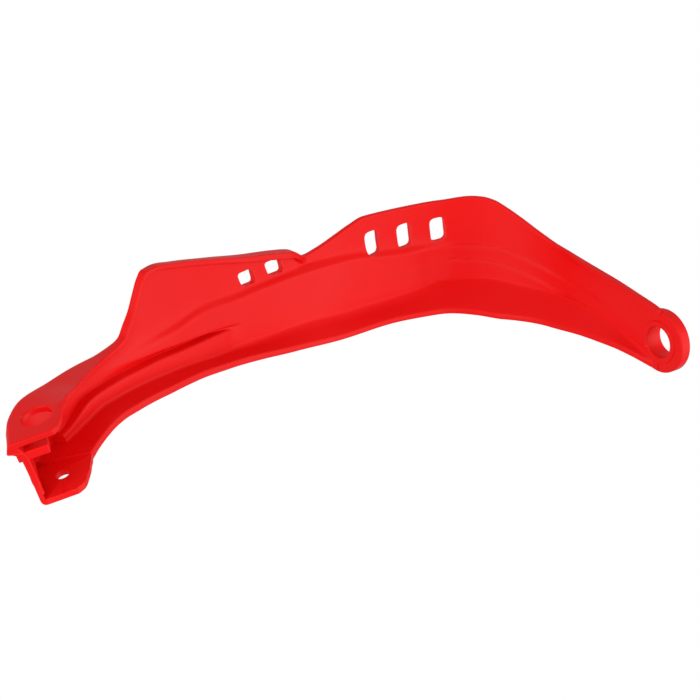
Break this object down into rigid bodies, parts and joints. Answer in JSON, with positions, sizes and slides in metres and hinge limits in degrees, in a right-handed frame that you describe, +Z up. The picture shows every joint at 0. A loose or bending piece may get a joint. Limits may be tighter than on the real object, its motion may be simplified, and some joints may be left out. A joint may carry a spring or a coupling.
{
  "type": "motorcycle hand guard",
  "caption": "Wrap-around moulded hand guard for a motorcycle handlebar, with a clamp tab at the inner end and a round bar-end boss at the outer end.",
  "frame": {"origin": "centre of the clamp bore, on the top face of the clamp tab", "axes": "+X from the clamp bore toward the bar end, +Y forward and away from the rider, +Z up"},
  "size_m": [0.359, 0.1327, 0.081],
  "materials": {
    "red_plastic": "satin moulded"
  },
  "bodies": {
    "root": {"guard_shell": "red_plastic"}
  },
  "joints": []
}
